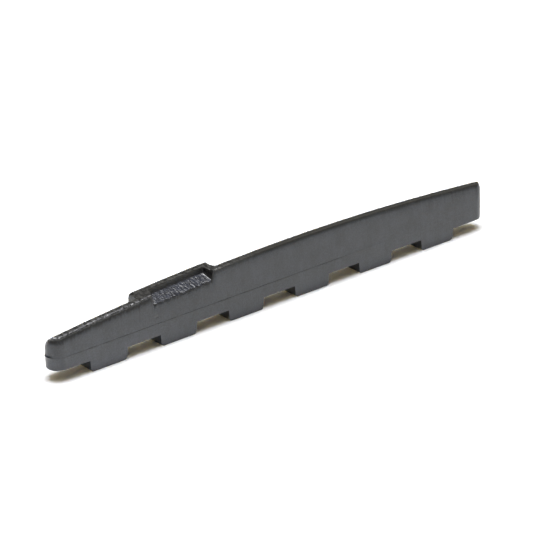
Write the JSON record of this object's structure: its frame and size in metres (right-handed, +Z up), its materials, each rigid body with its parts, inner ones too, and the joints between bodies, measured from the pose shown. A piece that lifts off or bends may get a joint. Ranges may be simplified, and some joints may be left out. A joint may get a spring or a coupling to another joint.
{
  "type": "guitar bridge saddle",
  "caption": "Arched, compensated bridge saddle for a steel-string acoustic guitar, moulded in one piece, with a foot under each string to press on an under-saddle pickup.",
  "frame": {"origin": "midway between the two middle feet, at mid-thickness, on the plane of the soles", "axes": "+X along the saddle from the treble end to the bass end, -Y towards the soundhole, +Z up towards the strings"},
  "size_m": [0.071, 0.0032, 0.0079],
  "materials": {
    "graphite_polymer": "satin"
  },
  "bodies": {
    "root": {"bridge_saddle": "graphite_polymer"}
  },
  "joints": []
}
